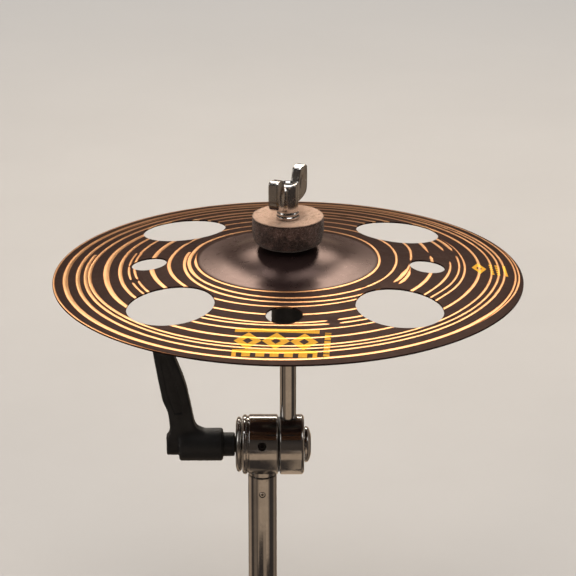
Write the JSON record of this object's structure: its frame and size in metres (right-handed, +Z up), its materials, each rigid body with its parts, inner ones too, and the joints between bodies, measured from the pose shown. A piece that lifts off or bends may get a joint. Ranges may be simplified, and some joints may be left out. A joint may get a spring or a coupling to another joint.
{
  "type": "crash cymbal on stand tilter",
  "caption": "Small pierced crash cymbal held between felts on a threaded rod, with a wing nut and a lever-clamped tilter on its stand tube.",
  "frame": {"origin": "on the cymbal rod's axis, level with the bottom end of the tube", "axes": "+Z up along the cymbal rod, X along the tilter's clamp axis with the lever at -X, -Y towards the player"},
  "size_m": [0.254, 0.254, 0.3182],
  "materials": {
    "cymbal_bronze": "bronze under a glossy dark brown patina, with narrow bright lathed rings and a smooth bell",
    "felt": "pressed wool felt, pale on the cut face and darker and rougher round the side",
    "chrome": "bright chrome plate with soft casting ripples on the cast pieces",
    "steel": "plain machined steel",
    "nylon": "black moulded nylon, slightly dull",
    "lever_plastic": "black glass-filled nylon with a fine grain",
    "friction_lining": "dark pressed fibre friction lining"
  },
  "bodies": {
    "stand": {"stand_tube": "chrome", "tube_pin": "steel", "tilter_base": "chrome", "bolt_set_screw": "steel", "clamp_bolt": "chrome", "friction_disc": "friction_lining"},
    "tilt_head": {"tilter_head": "chrome", "rod_set_screw": "steel", "cymbal_rod": "chrome", "seat_bush": "nylon", "cup_washer": "chrome", "post_sleeve": "nylon"},
    "felts": {"upper_felt": "felt", "lower_felt": "felt"},
    "cymbal_plate": {"cymbal": "cymbal_bronze"},
    "nut_foot": {"nut_washer": "chrome"},
    "nut": {"wing_nut": "chrome"},
    "clamp_washer": {"pressure_washer": "chrome"},
    "lever_core": {"lever_insert": "steel", "lever_screw": "steel", "lever_spring": "steel"},
    "lever_grip": {"lever_handle": "lever_plastic", "lever_cap": "lever_plastic"}
  },
  "joints": [
    {"name": "tilter_tilt", "type": "hinge", "parent": "stand", "child": "tilt_head", "pos_m": [0, 0, 0.1603], "axis": [1, 0, 0], "range_deg": [-105, 105]},
    {"name": "cymbal_spin", "type": "hinge", "parent": "tilt_head", "child": "felts", "pos_m": [0, 0, 0.278], "axis": [0, 0, 1], "continuous": true},
    {"name": "cymbal_rock", "type": "hinge", "parent": "felts", "child": "cymbal_plate", "pos_m": [0, 0, 0.2775], "axis": [1, 0, 0], "range_deg": [-10, 10], "stiffness_Nm_per_rad": 0.6, "deforming": ["upper_felt", "lower_felt"]},
    {"name": "nut_travel", "type": "slide", "parent": "tilt_head", "child": "nut_foot", "axis": [0, 0, 1], "range_m": [0, 0.015]},
    {"name": "nut_spin", "type": "hinge", "parent": "nut_foot", "child": "nut", "pos_m": [0, 0, 0.3], "axis": [0, 0, 1], "range_deg": [0, 5400]},
    {"name": "clamp_release", "type": "slide", "parent": "stand", "child": "clamp_washer", "axis": [1, 0, 0], "range_m": [-0.001, 0]},
    {"name": "lever_turn", "type": "hinge", "parent": "clamp_washer", "child": "lever_core", "pos_m": [-0.04, 0, 0.1603], "axis": [1, 0, 0], "range_deg": [-360, 0]},
    {"name": "lever_lift", "type": "slide", "parent": "lever_core", "child": "lever_grip", "axis": [-1, 0, 0], "range_m": [0, 0.0044], "stiffness_N_per_m": 300, "springref_m": -0.002, "deforming": ["lever_spring"]}
  ],
  "couplings": [
    {"joint": "nut_travel", "follows": "nut_spin", "m_per_rad": 0.00015915},
    {"joint": "clamp_release", "follows": "lever_turn", "m_per_rad": 0.00015915}
  ]
}
